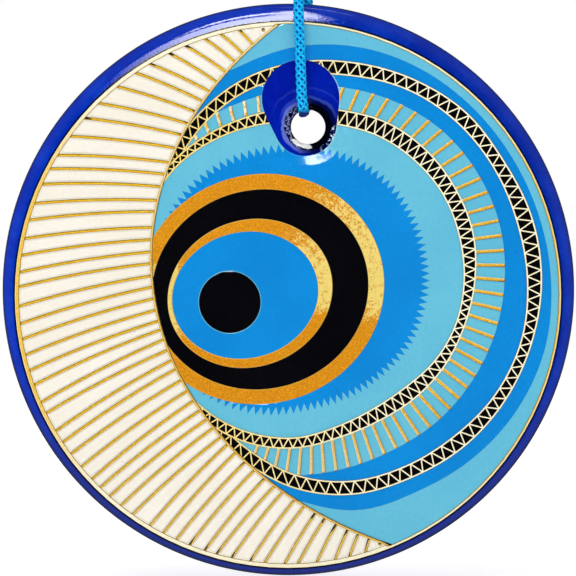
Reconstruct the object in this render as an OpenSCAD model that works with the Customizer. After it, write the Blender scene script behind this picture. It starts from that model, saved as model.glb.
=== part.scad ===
// Evil eye wall ornament: a round cobalt glass disc, decorated with coloured enamel fields
// and raised gold lines, that hangs on a doubled cord with a knot and a hanging loop.
// Millimetres, +Z up, the decorated face looks towards -Y.
// The origin is the top inside of the hanging loop, where a nail or hook carries it.

/* [Disc] */
// Diameter of the glass disc
disc_d = 130; // [126:0.5:134]
// Thickness of the glass
disc_t = 6; // [5.5:0.1:6]
// Rounding of the disc's two outer edges
edge_r = 1.8; // [1:0.1:1.8]
// Height of the hanging point above the middle of the disc
hang_h = 120; // [120:1:120]
// Sideways place of the disc's middle from the hanging point
disc_x = -3.2; // [-3.2:0.1:-3.2]

/* [Cord hole] */
// Radius of the hole for the cord
hole_r = 3.9; // [3.8:0.05:4]
// Rounding of the hole's two mouths
mouth_r = 2.3; // [1.8:0.1:2.4]
// Sideways place of the hole from the disc's middle
hole_x = 4.5; // [4.4:0.1:4.6]
// Height of the hole above the disc's middle
hole_z = 37; // [37:0.1:37]
// Radius of the bare glass above the hole
bare_top_r = 8.8; // [8:0.1:9.5]
// Radius of the bare glass around the hole
bare_low_r = 7.1; // [6.9:0.1:7.3]

/* [Enamel and gold] */
// Thickness of the enamel fields
enamel_t = 0.25; // [0.15:0.05:0.25]
// Height of the cream cells above their off-white ground
cell_t = 0.1; // [0.05:0.05:0.2]
// Height of the gold above the enamel
gold_t = 0.2; // [0.1:0.05:0.2]
// Gap between neighbouring fields
field_gap = 0.02; // [0.01:0.01:0.06]
// Radius of the decorated area
decor_r = 62; // [60:0.5:62]
// Width of the gold line round the decorated area, on the eye's side
border_w = 0.55; // [0.4:0.05:0.8]
// Width of the same line along the crescent
crescent_border_w = 0.95; // [0.8:0.05:1.2]

/* [Crescent] */
// Width of a fin
fin_w = 0.65; // [0.5:0.05:0.8]
// How far a fin bows upwards at its middle, as a share of its length
fin_bow = 0.018; // [0:0.002:0.03]
// Width of the gold rail along the crescent's inner edge
rail_w = 0.6; // [0.4:0.05:0.8]
// Off-white margin round each cream cell
cell_margin = 0.3; // [0.2:0.05:0.4]
// Rounding of each cell's corners
cell_round = 0.3; // [0.1:0.05:0.4]
// Radius of the gold dot in each tip of the crescent
tip_dot_r = 0.4; // [0.3:0.05:0.5]

/* [Lace and bars] */
// Width of the gold edge lines of the two lace bands
lace_edge_w = 0.36; // [0.3:0.02:0.5]
// Width of the zigzag threads
thread_w = 0.32; // [0.26:0.02:0.5]
// Length of one zigzag on the outer lace
outer_pitch = 2.65; // [2.4:0.05:3]
// Length of one zigzag on the inner lace
inner_pitch = 2.1; // [1.9:0.05:2.4]
// Number of gold bars on the brick band, with the places that the bare glass takes
bar_count = 58; // [50:1:58]
// Width of a gold bar
bar_w = 0.75; // [0.5:0.05:1]

/* [Sawtooth] */
// Number of teeth in a full turn
tooth_count = 114; // [90:1:130]
// Depth of a tooth
tooth_depth = 2; // [1:0.1:2.4]

/* [Eye] */
// Radius of the pupil
pupil_r = 7; // [6.5:0.1:7.4]
// Width of the pale hairline round the pupil
hairline_w = 0.2; // [0.2:0.05:0.5]

/* [Cord] */
// Diameter of the cord
cord_d = 2.5; // [2.5:0.1:2.5]
// Radius of the knot
knot_r = 4; // [3.8:0.1:4.2]
// Height of the knot
knot_h = 8; // [8:1:8]

/* [Hidden] */
round_fn = 96;
$fn = round_fn;

cobalt = [0.07, 0.16, 0.62];
sky = [0.42, 0.76, 0.89];
azure = [0.01, 0.56, 0.88];
black = [0.02, 0.02, 0.04];
gold = [0.92, 0.64, 0.14];
off_white = [1.0, 0.99, 0.93];
cream = [0.96, 0.93, 0.87];
cord_blue = [0.0, 0.68, 0.92];

disc_r = disc_d / 2;
// The whole decoration sits a little low on the disc.
decor_at = [-0.1, -1.2];
// The bands are drawn round a point near the disc's middle.
band_at = [2, 2];
outline_step = 2;
whole_turn = 360;
// Fineness of the small rounded corners
corner_fn = 12;

// Outlines drawn by hand: the radius from band_at at every 15 degrees, from -180 to 165,
// counted from +X towards +Z. The crescent covers them on the left.
azure_outer_line = [
    42, 41, 41, 42.5, 44.5, 46, 49.8, 53.9, 55.1, 56.7, 57.9, 58.3,
    57.6, 56.8, 56.2, 55.9, 55.6, 54.8, 53.1, 50.4, 48.5, 46.5, 44.5, 43
];
outer_lace_outside = [
    36, 36, 37, 38.5, 40.3, 43.3, 47.4, 50.3, 51.8, 53.5, 54.6, 55.2,
    55.6, 55.3, 54.3, 54.2, 52.9, 51.3, 49.7, 47.4, 44.2, 41, 38.5, 37
];
outer_lace_inside = [
    33, 33, 33.5, 34.5, 36.5, 40.1, 44.1, 47, 48.6, 50, 51.7, 52.5,
    52.1, 51.5, 51.3, 50.9, 49.9, 48, 46.4, 44.4, 41.4, 38.2, 36, 34
];
brick_outside = [
    45, 45, 45, 45, 45, 44.7, 44.2, 44, 44.2, 45.1, 45.8, 46.5,
    47.1, 47.7, 47.7, 47.4, 46.4, 45.2, 43.8, 42.6, 42.2, 42, 43, 44
];
inner_lace_outside = [
    38, 37.5, 37.5, 38, 38.4, 38.6, 38.1, 37, 37, 37.9, 38.8, 39.5,
    40.5, 41.5, 41.7, 41.8, 41.4, 40.1, 39.3, 39, 39, 39.2, 39.2, 38.6
];
inner_lace_inside = [
    36, 35.5, 35.4, 35.6, 36, 36, 35.5, 34.2, 33.7, 34.3, 36, 37.2,
    37.7, 38, 38.3, 38, 37.5, 36.5, 36, 36.3, 36.9, 37.5, 37.4, 36.8
];
tooth_tips = [
    33.5, 34, 34, 33.9, 33, 31.6, 30.1, 29.3, 29.3, 29.4, 29.9, 29.9,
    30.1, 30.3, 30.7, 31.1, 31.2, 31, 31, 31.5, 32.2, 32.9, 33.2, 33.3
];

// Ellipses of the eye: [middle, half length, half width, tilt].
iris = [[-9.8, -1.3], 16.7, 14.3, 14];
inner_ring = [[-8.7, -0.9], 19, 16.6, 21];
dark_ring = [[-6.4, 0], 24.7, 22.6, 14.5];
outer_ring = [[-6.2, 0.1], 28.1, 26, 16];
// Ellipse whose left side is the crescent's inner edge.
crescent_edge = [[60.6, 8.6], 91.8, 72.3, 2.6];
pupil_at = [-13.3, -2.9];
// Dots in the crescent's upper and lower tip
tip_dots = [[-5.7, 58.9], [20.8, -57.8]];

// Where the fins start on the border and end on the rail, in degrees up from -X, lowest first.
// They were drawn by hand and aren't evenly spaced.
fin_starts = [
    -106.3, -102.7, -99.6, -95.7, -91.7, -88.9, -84.6, -81.6, -77.6, -74.3, -71.7, -68.3, -65.3,
    -62.2, -59, -54.6, -51.5, -48.4, -45.7, -43.2, -39.8, -36.3, -33.3, -30.5, -26.2, -23.7,
    -19.7, -16.5, -13.1, -9.7, -6.4, -2.7, 1.4, 4.5, 8.1, 11.7, 15.7, 19.4, 23.8,
    27.4, 30.7, 35.5, 40.4, 44.7, 50, 54.9, 58.4, 63.2, 67, 71.3, 74.9, 78.9
];
fin_ends = [
    -60.5, -58.8, -57.1, -55.2, -53.3, -51.6, -49.6, -47.8, -45.6, -44, -42, -39.9, -37.9,
    -35.7, -33.8, -32.2, -30.2, -28.4, -26.5, -24.5, -22.5, -20.4, -18.2, -16.5, -14.6, -12.6,
    -10.8, -9.2, -7.2, -5.1, -3, -1, 1.2, 3.3, 5.5, 7.7, 10.6, 12.6, 15.1,
    17.4, 19.6, 22.3, 24.8, 27, 29.3, 31.4, 33.4, 35.3, 37.5, 39.7, 41.5, 43.6
];

// Zigzags and bars run between these angles round band_at.
lace_from = -130;
lace_to = 145;
// Angle of the first bar, and the spacing, which grows a little towards the top.
bar_from = -104.3;
bar_step = 3.63;
bar_growth = 0.0086;
// From this bar on, past the bare glass, the bars lie a little further back.
past_glass = 48;
past_glass_back = 1.4;
// A bar's inner end lies this far round from its outer end.
bar_lean = 0.9;

// Routes of the cord's middle line, from the knot or to it, chosen by hand.
cord_r = cord_d / 2;
knot_top = -32;
front_route = [
    [-1.4, -0.8, -40], [-1.35, -1.8, -42.2], [-1.2, -4.1, -45.6], [-1.05, -5, -49],
    [-0.9, -5, -56], [-0.65, -5, -63], [-0.4, -5, -70], [-0.15, -5, -76.5],
    [0.1, -4.8, -78.4], [0.3, -4, -79.7], [0.5, -2.4, -80.4], [0.6, 0, -80.6]
];
back_route = [
    [1.4, 0.8, -40], [1.4, 1.6, -42.2], [1.35, 3.6, -45.6], [1.3, 4.55, -49],
    [1.2, 4.55, -56], [1.1, 4.55, -63], [1, 4.55, -70], [0.9, 4.55, -76.5],
    [0.8, 4.4, -78.4], [0.7, 3.7, -79.7], [0.6, 2.2, -80.4], [0.6, 0, -80.6]
];
loop_route = [
    [-1.4, 0, -32], [-2, 0, -28.5], [-3.6, 0, -23], [-5.2, 0, -17], [-6, 0, -11], [-5.4, 0, -5.5],
    [-3.4, 0, -0.9], [0, 0, 1.25],
    [3.4, 0, -0.9], [5.4, 0, -5.5], [6, 0, -11], [5.2, 0, -17], [3.6, 0, -23], [2, 0, -28.5],
    [1.4, 0, -32]
];
left_tail_route = [[-3, 0.6, -36.6], [-5, 0.8, -37.6], [-6.6, 0.9, -39.8], [-7.2, 1, -43]];
right_tail_route = [[3, -0.6, -36.4], [5.2, -0.8, -37.2], [6.8, -1, -39], [7.8, -1.2, -42]];
tube_sides = 8;

// ---------- outlines ----------

// Smooth closed curve through the values of a list, spaced evenly over a whole turn.
function wrap(values, i) = values[(i + len(values)) % len(values)];
function blend(a, b, c, d, t) =
    b + t * (c - a) / 2 + t * t * (2 * a - 5 * b + 4 * c - d) / 2 + t * t * t * (3 * b - a - 3 * c + d) / 2;
function radius_at(line, angle) =
    let (
        place = (angle + 180) * len(line) / whole_turn,
        i = floor(place)
    )
    blend(wrap(line, i - 1), wrap(line, i), wrap(line, i + 1), wrap(line, i + 2), place - i);
function polar(angle, radius) = [cos(angle), sin(angle)] * radius;
function on_line(line, angle, out = 0) = band_at + polar(angle, radius_at(line, angle) + out);

// A point on an ellipse given as [middle, half length, half width, tilt].
function on_ellipse(e, angle, out = 0) =
    let (
        u = (e[1] + out) * cos(angle),
        v = (e[2] + out) * sin(angle)
    )
    e[0] + [u * cos(e[3]) - v * sin(e[3]), u * sin(e[3]) + v * cos(e[3])];

module blob(line, out = 0)
    polygon([for (a = [-180:outline_step:178]) on_line(line, a, out)]);

module ellipse(e, out = 0)
    polygon([for (a = [0:outline_step:358]) on_ellipse(e, a, out)]);

// A straight stroke of constant width between two points.
module stroke(a, b, w) {
    along = (b - a) / norm(b - a);
    side = [-along[1], along[0]] * w / 2;
    polygon([a - side, b - side, b + side, a + side]);
}

// ---------- areas of the decoration, in the plane of the front face ----------

module decorated_area()
    translate(decor_at)
        circle(decor_r);

module bare_glass()
    hull() {
        translate([2.8, 43.3])
            circle(bare_top_r);
        translate([3.8, 37.4])
            circle(bare_low_r);
    }

// The decorated area without the line round it.
module inside_border(w)
    translate(decor_at)
        circle(decor_r - w, $fn = round_fn);

// Everything to the right of the crescent, without the bare glass and the border line.
module eye_side()
    difference() {
        intersection() {
            inside_border(border_w);
            ellipse(crescent_edge, -rail_w / 2);
        }
        bare_glass();
    }

module crescent_side()
    difference() {
        inside_border(crescent_border_w);
        ellipse(crescent_edge, rail_w / 2);
    }

module teeth_blob() {
    half = whole_turn / tooth_count / 2;
    polygon([
        for (i = [0:tooth_count - 1])
            for (side = [0, 1])
                on_line(tooth_tips, -180 + (2 * i + side) * half, -side * tooth_depth)
    ]);
}

// ---------- placing ----------

module at_disc()
    translate([disc_x, 0, -hang_h])
        children();

// Raises a flat shape from the front face, starting at the given height above the glass.
module raised(base, height)
    at_disc()
        translate([0, -disc_t / 2 - base, 0])
            rotate([90, 0, 0])
                linear_extrude(height)
                    offset(delta = -field_gap / 2)
                        children();

module enamel()
    raised(0, enamel_t)
        children();

module gilding()
    raised(enamel_t, gold_t)
        children();

// ---------- glass ----------

module disc_profile() {
    flat = disc_t / 2 - edge_r;
    translate([0, -disc_t / 2])
        square([disc_r - edge_r, disc_t]);
    translate([0, -flat])
        square([disc_r, 2 * flat]);
    for (side = [-1, 1])
        translate([disc_r - edge_r, side * flat])
            circle(edge_r);
}

// Half section of the hole with its two rounded mouths.
module hole_profile() {
    reach = disc_t / 2 + 1;
    flare = hole_r + mouth_r;
    difference() {
        translate([0, -reach])
            square([flare, 2 * reach]);
        translate([hole_r, mouth_r - disc_t / 2])
            square([mouth_r + 1, disc_t - 2 * mouth_r]);
        for (side = [-1, 1])
            translate([flare, side * (disc_t / 2 - mouth_r)])
                circle(mouth_r);
    }
}

module glass_disc()
    color(cobalt)
        at_disc()
            rotate([90, 0, 0])
                difference() {
                    rotate_extrude()
                        disc_profile();
                    translate([hole_x, hole_z, 0])
                        rotate_extrude()
                            hole_profile();
                }

// ---------- crescent ----------

function fin_start(i, out = 0) =
    decor_at + polar(180 - fin_starts[i], decor_r - crescent_border_w + out);
function fin_end(i, out = 0) =
    on_ellipse(crescent_edge, 180 - fin_ends[i], rail_w / 2 - out);
// A point on a fin, t running from 0 on the border to 1 on the rail.
function fin_point(i, t, out) =
    let (
        a = fin_start(i, out),
        b = fin_end(i, out),
        up = [-(b - a)[1], (b - a)[0]]
    )
    a + t * (b - a) + up * fin_bow * 4 * t * (1 - t);

module fin(i, w, out = 0) {
    steps = 6;
    points = [for (k = [0:steps]) fin_point(i, k / steps, out)];
    across = [fin_start(i)[1] - fin_end(i)[1], fin_end(i)[0] - fin_start(i)[0]];
    side = across / norm(across) * w / 2;
    polygon(concat([for (p = points) p + side], [for (k = [steps:-1:0]) points[k] - side]));
}

module tip_dot_discs(out = 0)
    for (dot = tip_dots)
        translate(dot)
            circle(tip_dot_r + out);

module all_fins()
    for (i = [0:len(fin_starts) - 1])
        fin(i, fin_w, 1);

module crescent_ground()
    color(off_white)
        enamel()
            crescent_side();

module cream_cells()
    color(cream)
        raised(enamel_t, cell_t)
            offset(r = cell_round, $fn = corner_fn)
                offset(delta = -cell_margin - cell_round)
                    difference() {
                        crescent_side();
                        all_fins();
                        tip_dot_discs(cell_margin);
                    }

module crescent_fins()
    color(gold)
        gilding()
            intersection() {
                crescent_side();
                union() {
                    all_fins();
                    tip_dot_discs();
                }
            }

module crescent_rail()
    color(gold)
        raised(0, enamel_t + gold_t)
            intersection() {
                inside_border(border_w);
                difference() {
                    ellipse(crescent_edge, rail_w / 2);
                    ellipse(crescent_edge, -rail_w / 2);
                }
            }

// The line round the decorated area, wider along the crescent.
module gold_border()
    color(gold)
        raised(0, enamel_t + gold_t) {
            difference() {
                inside_border(0);
                inside_border(border_w);
            }
            difference() {
                inside_border(0);
                inside_border(crescent_border_w);
                ellipse(crescent_edge, rail_w / 2);
            }
        }

// ---------- bands, from the outside inwards ----------

module sky_outer_band()
    color(sky)
        enamel()
            difference() {
                eye_side();
                blob(azure_outer_line);
                blob(outer_lace_outside);
                blob(inner_lace_outside);
                ellipse(outer_ring);
            }

module azure_outer_band()
    color(azure)
        enamel()
            difference() {
                intersection() {
                    eye_side();
                    blob(azure_outer_line);
                }
                blob(outer_lace_outside);
                blob(inner_lace_outside);
                ellipse(outer_ring);
            }

module black_outer_lace()
    color(black)
        enamel()
            difference() {
                intersection() {
                    eye_side();
                    blob(outer_lace_outside);
                }
                blob(outer_lace_inside);
                blob(inner_lace_outside);
                ellipse(outer_ring);
            }

module azure_middle_band()
    color(azure)
        enamel()
            difference() {
                intersection() {
                    eye_side();
                    blob(outer_lace_inside);
                }
                blob(brick_outside);
                blob(inner_lace_outside);
                ellipse(outer_ring);
            }

module sky_brick_band()
    color(sky)
        enamel()
            difference() {
                intersection() {
                    eye_side();
                    blob(outer_lace_inside);
                    blob(brick_outside);
                }
                blob(inner_lace_outside);
                ellipse(outer_ring);
            }

module black_inner_lace()
    color(black)
        enamel()
            difference() {
                intersection() {
                    eye_side();
                    blob(inner_lace_outside);
                }
                blob(inner_lace_inside);
                ellipse(outer_ring);
            }

module sky_wide_band()
    color(sky)
        enamel()
            difference() {
                intersection() {
                    eye_side();
                    blob(inner_lace_inside);
                }
                teeth_blob();
                ellipse(outer_ring);
            }

module azure_sawtooth_field()
    color(azure)
        enamel()
            difference() {
                intersection() {
                    eye_side();
                    blob(inner_lace_inside);
                    teeth_blob();
                }
                ellipse(outer_ring);
            }

// ---------- gold lace and bars ----------

// Angles of a zigzag's turning points, one half pitch of arc apart.
function zigzag_angles(line, pitch, angle) =
    angle > lace_to
        ? []
        : let (step = pitch / 2 / radius_at(line, angle) * 180 / PI)
            concat([angle], zigzag_angles(line, pitch, angle + step));

module zigzag(inside, outside, pitch) {
    angles = zigzag_angles(inside, pitch, lace_from);
    for (i = [0:len(angles) - 2]) {
        inner_first = i % 2 == 0;
        first = inner_first ? inside : outside;
        second = inner_first ? outside : inside;
        into = inner_first ? thread_w / 2 : -thread_w / 2;
        a = on_line(first, angles[i], into);
        b = on_line(second, angles[i + 1], -into);
        stroke(a, b, thread_w);
    }
}

module lace(inside, outside, pitch) {
    difference() {
        blob(outside);
        blob(outside, -lace_edge_w);
    }
    difference() {
        blob(inside, lace_edge_w);
        blob(inside);
    }
    zigzag(inside, outside, pitch);
}

module gold_outer_lace()
    color(gold)
        gilding()
            difference() {
                intersection() {
                    eye_side();
                    lace(outer_lace_inside, outer_lace_outside, outer_pitch);
                }
                blob(inner_lace_outside);
                ellipse(outer_ring);
            }

module gold_inner_lace()
    color(gold)
        gilding()
            difference() {
                intersection() {
                    eye_side();
                    lace(inner_lace_inside, inner_lace_outside, inner_pitch);
                }
                ellipse(outer_ring);
            }

function bar_angle(i) =
    bar_from + bar_step * i + bar_growth * i * i - (i < past_glass ? 0 : past_glass_back);

module gold_brick_bars()
    color(gold)
        gilding()
            intersection() {
                eye_side();
                blob(outer_lace_inside);
                blob(brick_outside);
                for (i = [0:bar_count - 1])
                    stroke(
                        on_line(inner_lace_outside, bar_angle(i) + bar_lean, 0),
                        on_line(brick_outside, bar_angle(i), 1),
                        bar_w
                    );
            }

// ---------- eye ----------

// Part of an ellipse that the crescent leaves free.
module in_eye_side(e)
    intersection() {
        eye_side();
        ellipse(e);
    }

module gold_outer_ring()
    color(gold)
        raised(0, enamel_t + gold_t / 2)
            difference() {
                in_eye_side(outer_ring);
                ellipse(dark_ring);
            }

module black_ring()
    color(black)
        enamel()
            difference() {
                in_eye_side(dark_ring);
                ellipse(inner_ring);
            }

module gold_inner_ring()
    color(gold)
        raised(0, enamel_t + gold_t / 2)
            difference() {
                ellipse(inner_ring);
                ellipse(iris);
            }

module azure_iris()
    color(azure)
        enamel()
            difference() {
                ellipse(iris);
                translate(pupil_at)
                    circle(pupil_r + hairline_w);
            }

module pupil_hairline()
    color(sky)
        enamel()
            translate(pupil_at)
                difference() {
                    circle(pupil_r + hairline_w);
                    circle(pupil_r);
                }

module black_pupil()
    color(black)
        enamel()
            translate(pupil_at)
                circle(pupil_r);

// ---------- cord ----------

function unit(v) = v / norm(v);
// Direction of a route at a point: along the chord of its neighbours.
function heading(route, i) =
    unit(route[min(i + 1, len(route) - 1)] - route[max(i - 1, 0)]);
// Ends of a route that meet a flat face leave it square.
function tube_heading(route, i, first, last) =
    i == 0 && first != undef ? first :
    i == len(route) - 1 && last != undef ? last :
    heading(route, i);

module tube(route, first, last) {
    rings = [
        for (i = [0:len(route) - 1])
            let (
                ahead = tube_heading(route, i, first, last),
                // The side vectors stay near the X axis, which no route follows.
                ref = abs(ahead[0]) > 0.9 ? [0, 1, 0] : [1, 0, 0],
                u = unit(ref - ahead * (ref * ahead)),
                v = cross(ahead, u)
            )
            [for (k = [0:tube_sides - 1])
                let (a = k * whole_turn / tube_sides)
                route[i] + cord_r * (u * cos(a) + v * sin(a))]
    ];
    points = [for (ring = rings) for (p = ring) p];
    last_ring = (len(route) - 1) * tube_sides;
    sides = [
        for (i = [0:len(route) - 2])
            for (k = [0:tube_sides - 1])
                let (
                    a = i * tube_sides + k,
                    b = i * tube_sides + (k + 1) % tube_sides
                )
                each [[a, a + tube_sides, b + tube_sides], [a, b + tube_sides, b]]
    ];
    caps = [
        [for (k = [0:tube_sides - 1]) k],
        [for (k = [tube_sides - 1:-1:0]) last_ring + k]
    ];
    polyhedron(points, concat(sides, caps));
}

module cord_front_strand()
    color(cord_blue)
        tube(front_route, [0, 0, -1], [0, 1, 0]);

module cord_back_strand()
    color(cord_blue)
        tube(back_route, [0, 0, -1], [0, -1, 0]);

module hanging_loop()
    color(cord_blue)
        tube(loop_route, [0, 0, 1], [0, 0, -1]);

module cord_knot()
    color(cord_blue)
        translate([0, 0, knot_top - knot_h])
            rotate_extrude()
                intersection() {
                    square([knot_r, knot_h]);
                    translate([0, knot_h / 2])
                        scale(knot_r)
                            circle(1.2);
                }

module cord_tails()
    color(cord_blue) {
        tube(left_tail_route);
        tube(right_tail_route);
    }

// ---------- nodes ----------

glass_disc();
crescent_ground();
cream_cells();
crescent_fins();
crescent_rail();
gold_border();
sky_outer_band();
azure_outer_band();
black_outer_lace();
gold_outer_lace();
azure_middle_band();
sky_brick_band();
gold_brick_bars();
black_inner_lace();
gold_inner_lace();
sky_wide_band();
azure_sawtooth_field();
gold_outer_ring();
black_ring();
gold_inner_ring();
azure_iris();
pupil_hairline();
black_pupil();
cord_front_strand();
cord_back_strand();
cord_knot();
cord_tails();
hanging_loop();
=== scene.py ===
"""Looks of the evil eye wall ornament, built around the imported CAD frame.

Metres, +Z up, the decorated face looks towards -Y, and the origin is the top of the hanging loop.
"""

import math

import bpy
import numpy as np
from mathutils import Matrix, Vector


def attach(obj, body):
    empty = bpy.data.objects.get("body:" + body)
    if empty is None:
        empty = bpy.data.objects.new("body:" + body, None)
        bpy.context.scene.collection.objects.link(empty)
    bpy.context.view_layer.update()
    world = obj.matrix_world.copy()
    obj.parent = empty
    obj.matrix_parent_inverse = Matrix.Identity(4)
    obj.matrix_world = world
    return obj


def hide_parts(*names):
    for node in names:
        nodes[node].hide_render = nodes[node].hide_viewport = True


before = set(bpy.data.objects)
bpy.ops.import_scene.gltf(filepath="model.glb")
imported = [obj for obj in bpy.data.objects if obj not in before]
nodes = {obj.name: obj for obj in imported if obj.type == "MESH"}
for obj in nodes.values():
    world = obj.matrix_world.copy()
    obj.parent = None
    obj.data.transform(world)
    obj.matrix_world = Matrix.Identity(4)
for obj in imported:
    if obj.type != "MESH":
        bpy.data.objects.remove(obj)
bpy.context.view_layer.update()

MM = 0.001
DISC_R = 65 * MM
DISC_AT = Vector((-3.2, 0, -120)) * MM
DECOR_AT = DISC_AT + Vector((-0.1, 0, -1.2)) * MM
DECOR_R = 62 * MM
HALF_T = 3 * MM
HOLE_AT = DISC_AT + Vector((4.5, 0, 37)) * MM
HOLE_R = 3.9 * MM
MOUTH_R = 2.3 * MM
FORWARD = (0, -1, 0)

# ---------- camera ----------

CAMERA_DISTANCE = 1.2
CAMERA_X = -3.29 * MM
CAMERA_Z = -119.68 * MM
VIEW_WIDTH = 130.77 * MM
SENSOR_WIDTH = 36


def make_camera():
    data = bpy.data.cameras.new("camera")
    data.sensor_width = SENSOR_WIDTH
    data.lens = SENSOR_WIDTH * CAMERA_DISTANCE / VIEW_WIDTH
    data.clip_start = 0.05
    data.clip_end = 20
    camera = bpy.data.objects.new("camera", data)
    camera.location = (CAMERA_X, -HALF_T - CAMERA_DISTANCE, CAMERA_Z)
    camera.rotation_euler = (math.radians(90), 0, 0)
    bpy.context.scene.collection.objects.link(camera)
    bpy.context.scene.camera = camera


make_camera()

# ---------- node helpers ----------

BEVEL_SAMPLES = 4


class Shader:
    """A material whose nodes are added one after another."""

    def __init__(self, name):
        self.material = bpy.data.materials.new(name)
        self.material.use_nodes = True
        self.tree = self.material.node_tree
        self.surface = self.tree.nodes["Principled BSDF"]
        coordinates = self.add("ShaderNodeTexCoord")
        self.place = coordinates.outputs["Object"]
        self.uv = coordinates.outputs["UV"]

    def add(self, kind, **settings):
        node = self.tree.nodes.new(kind)
        for key, value in settings.items():
            setattr(node, key, value)
        return node

    def link(self, source, target):
        self.tree.links.new(source, target)

    def feed(self, value, socket):
        if isinstance(value, bpy.types.NodeSocket):
            self.link(value, socket)
        else:
            socket.default_value = value

    def set(self, name, value):
        self.feed(value, self.surface.inputs[name])

    def math(self, operation, a, b=0.0):
        node = self.add("ShaderNodeMath", operation=operation)
        self.feed(a, node.inputs[0])
        self.feed(b, node.inputs[1])
        return node.outputs[0]

    def times(self, first, *others):
        """The product of two or more values."""
        product = first
        for other in others:
            product = self.math("MULTIPLY", product, other)
        return product

    def part(self, vector, axis):
        node = self.add("ShaderNodeSeparateXYZ")
        self.link(vector, node.inputs[0])
        return node.outputs[axis]

    def dot(self, vector, direction):
        node = self.add("ShaderNodeVectorMath", operation="DOT_PRODUCT")
        self.feed(vector, node.inputs[0])
        self.feed(direction, node.inputs[1])
        return node.outputs["Value"]

    def ramp(self, value, zero_at, one_at):
        """0 at one value, 1 at another, smooth between and level beyond. Either may be the larger."""
        node = self.add("ShaderNodeMapRange", interpolation_type="SMOOTHSTEP")
        self.feed(value, node.inputs["Value"])
        node.inputs["From Min"].default_value = zero_at
        node.inputs["From Max"].default_value = one_at
        return node.outputs["Result"]

    def mix(self, factor, a, b):
        node = self.add("ShaderNodeMix", data_type="RGBA")
        self.feed(factor, node.inputs["Factor"])
        self.feed(a, node.inputs[6])
        self.feed(b, node.inputs[7])
        return node.outputs[2]

    def noise(self, per_mm, detail, rough=0.5):
        node = self.add("ShaderNodeTexNoise")
        node.inputs["Scale"].default_value = per_mm / MM
        node.inputs["Detail"].default_value = detail
        node.inputs["Roughness"].default_value = rough
        self.link(self.place, node.inputs["Vector"])
        return node.outputs["Fac"]

    def cells(self, per_mm, feature="F1"):
        """Distance from the nearest of many scattered points."""
        node = self.add("ShaderNodeTexVoronoi", feature=feature)
        node.inputs["Scale"].default_value = per_mm / MM
        self.link(self.place, node.inputs["Vector"])
        return node.outputs["Distance"]

    def bump(self, height, distance, strength, under=None):
        node = self.add("ShaderNodeBump")
        node.inputs["Strength"].default_value = strength
        node.inputs["Distance"].default_value = distance
        self.link(height, node.inputs["Height"])
        if under is not None:
            self.link(under, node.inputs["Normal"])
        return node.outputs["Normal"]

    def offset(self, axis, point):
        """How far the place lies from a point along one axis."""
        return self.math("SUBTRACT", self.part(self.place, axis), point[axis])

    def from_axis(self, point):
        """Distance from the line through a point along Y, with the two offsets."""
        x = self.offset(0, point)
        z = self.offset(2, point)
        squares = self.math("ADD", self.times(x, x), self.times(z, z))
        return self.math("SQRT", squares), x, z

    def in_object_space(self, normal):
        node = self.add(
            "ShaderNodeVectorTransform", vector_type="NORMAL", convert_from="WORLD", convert_to="OBJECT"
        )
        self.link(normal, node.inputs["Vector"])
        return node.outputs["Vector"]

    def normal(self):
        return self.in_object_space(self.add("ShaderNodeNewGeometry").outputs["Normal"])

    def rounded(self, radius):
        """The normal as if all edges were rounded, which tells where they are."""
        node = self.add("ShaderNodeBevel", samples=BEVEL_SAMPLES)
        node.inputs["Radius"].default_value = radius
        return self.in_object_space(node.outputs["Normal"])


def linear(r, g, b):
    """A colour given as it shows on a screen, 0 to 255, for a shader."""

    def one(c):
        c /= 255
        return c / 12.92 if c <= 0.04045 else ((c + 0.055) / 1.055) ** 2.4

    return (one(r), one(g), one(b), 1.0)


# ---------- meshes ----------

# Each stretch of a spline between two points is first cut into pieces of this share.
SPLINE_CUT = 0.05
SPLINE_FEWEST = 8


def unit(v):
    return v / np.linalg.norm(v, axis=-1, keepdims=True)


def smooth(t):
    """0 below 0, 1 above 1, smooth between."""
    t = np.clip(t, 0, 1)
    return t * t * (3 - 2 * t)


def piece(name, verts, faces, materials, shaded_smooth=True, uvs=None, slots=None):
    """A mesh object from vertices in metres and a list of faces."""
    mesh = bpy.data.meshes.new(name)
    mesh.from_pydata([tuple(v) for v in verts], [], [tuple(f) for f in faces])
    mesh.update()
    if shaded_smooth:
        mesh.shade_smooth()
    else:
        mesh.shade_flat()
    if uvs is not None:
        layer = mesh.uv_layers.new(name="along")
        order = np.empty(len(mesh.loops), dtype=np.int32)
        mesh.loops.foreach_get("vertex_index", order)
        layer.uv.foreach_set("vector", np.asarray(uvs, dtype=np.float32)[order].ravel())
    for material in materials:
        mesh.materials.append(material)
    if slots is not None:
        mesh.polygons.foreach_set("material_index", np.asarray(slots, dtype=np.int32))
    made = bpy.data.objects.new(name, mesh)
    bpy.context.scene.collection.objects.link(made)
    return made


def ring_faces(rings, per_ring, start=0, closed=False):
    """Quads between rings of vertices that follow each other."""
    faces = []
    for i in range(rings if closed else rings - 1):
        a, b = start + i * per_ring, start + (i + 1) % rings * per_ring
        for k in range(per_ring):
            n = (k + 1) % per_ring
            faces.append((a + k, a + n, b + n, b + k))
    return faces


def capped_faces(rings, per_ring, start):
    """Quads between rings of vertices, with a cap on the first ring and on the last."""
    last = start + (rings - 1) * per_ring
    faces = ring_faces(rings, per_ring, start)
    faces.append(tuple(start + k for k in reversed(range(per_ring))))
    faces.append(tuple(last + k for k in range(per_ring)))
    return faces


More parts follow.
